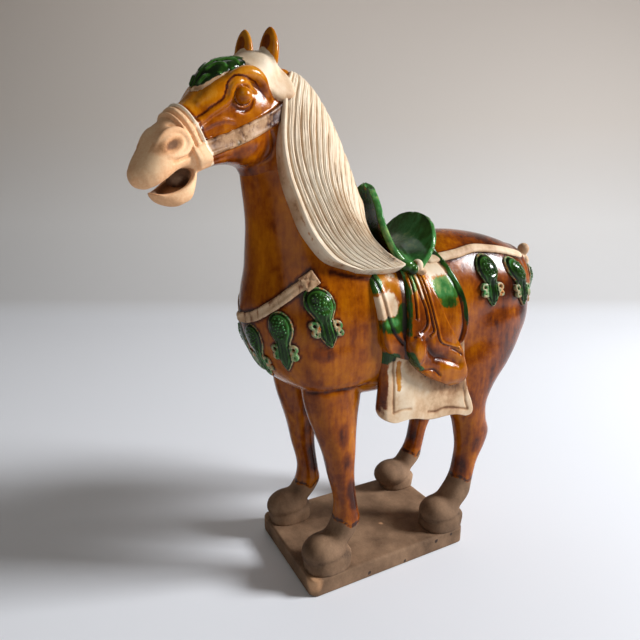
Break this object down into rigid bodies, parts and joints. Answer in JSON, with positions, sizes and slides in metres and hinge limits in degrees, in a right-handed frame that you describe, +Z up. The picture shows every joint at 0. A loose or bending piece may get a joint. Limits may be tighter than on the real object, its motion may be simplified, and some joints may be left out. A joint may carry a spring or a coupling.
{
  "type": "glazed pottery tomb horse figure",
  "caption": "Saddled standing horse in three-colour glazed pottery on a bare clay slab plinth, head turned to its left and mouth open, with a combed mane and leaf pendants on its harness.",
  "frame": {"origin": "centre of the plinth's flat underside", "axes": "+Z up, -Y towards the front of the horse, +X towards its left side, to which its head is turned"},
  "size_m": [0.131, 0.4046, 0.4464],
  "materials": {
    "glazed_pottery": "amber, green and cream lead glazes over pinkish buff earthenware, bare on the muzzle, hooves and plinth"
  },
  "bodies": {
    "root": {"tomb_horse": "glazed_pottery"}
  },
  "joints": []
}
